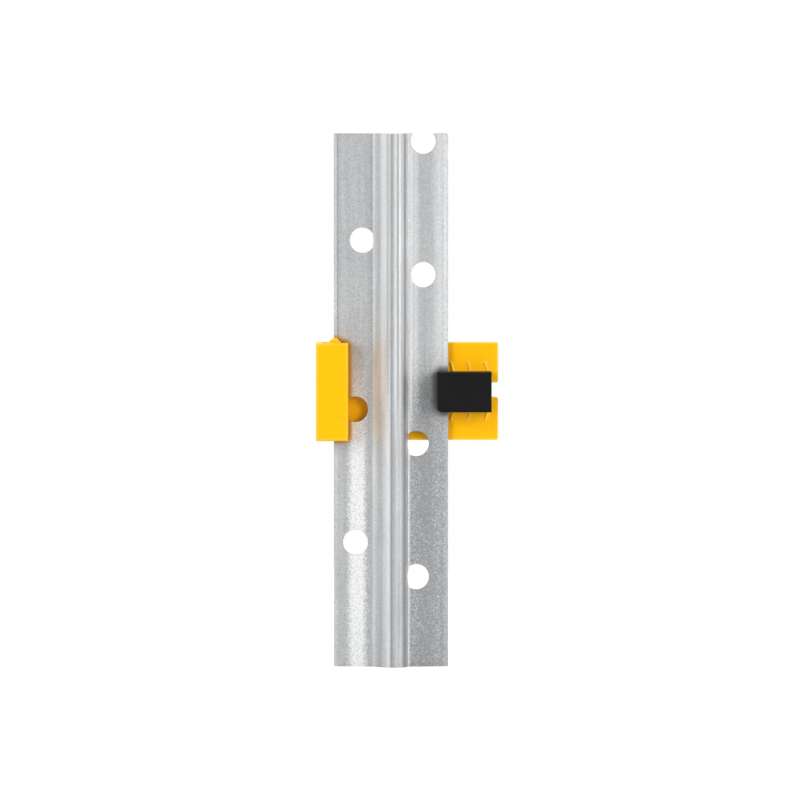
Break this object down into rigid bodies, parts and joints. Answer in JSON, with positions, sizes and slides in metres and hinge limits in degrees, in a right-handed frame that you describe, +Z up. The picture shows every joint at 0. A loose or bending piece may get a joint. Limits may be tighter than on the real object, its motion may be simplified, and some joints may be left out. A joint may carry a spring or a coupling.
{
  "type": "fence post section with tape clip",
  "caption": "Perforated galvanised steel post section with a clamp-on plastic clip: a hook and a sliding lock grip its flanges, and a hinged gate holds fence tape.",
  "frame": {"origin": "middle of the post's width at its foot, on the plane of the flanges' back edges", "axes": "+Z up the post, +X across it towards the clip's slotted wing, +Y from the ridge side to the tape side"},
  "size_m": [0.0819, 0.0392, 0.24],
  "materials": {
    "galvanised_steel": "galvanised, fine grain, half matt",
    "yellow_plastic": "moulded, soft gloss",
    "black_plastic": "moulded, fine matt texture",
    "pin_steel": "drawn stainless wire"
  },
  "bodies": {
    "post": {"post": "galvanised_steel"},
    "clip": {"clip_body": "yellow_plastic", "hinge_pin": "pin_steel"},
    "slider": {"slider": "black_plastic"},
    "gate": {"gate": "yellow_plastic"}
  },
  "joints": [
    {"name": "clip_height", "type": "slide", "parent": "post", "child": "clip", "axis": [0, 0, 1], "range_m": [-0.09, 0.09]},
    {"name": "slider_travel", "type": "slide", "parent": "clip", "child": "slider", "axis": [1, 0, 0], "range_m": [0, 0.0154]},
    {"name": "gate_swing", "type": "hinge", "parent": "clip", "child": "gate", "pos_m": [0, 0.0238, 0.1056], "axis": [-1, 0, 0], "range_deg": [0, 105]}
  ]
}
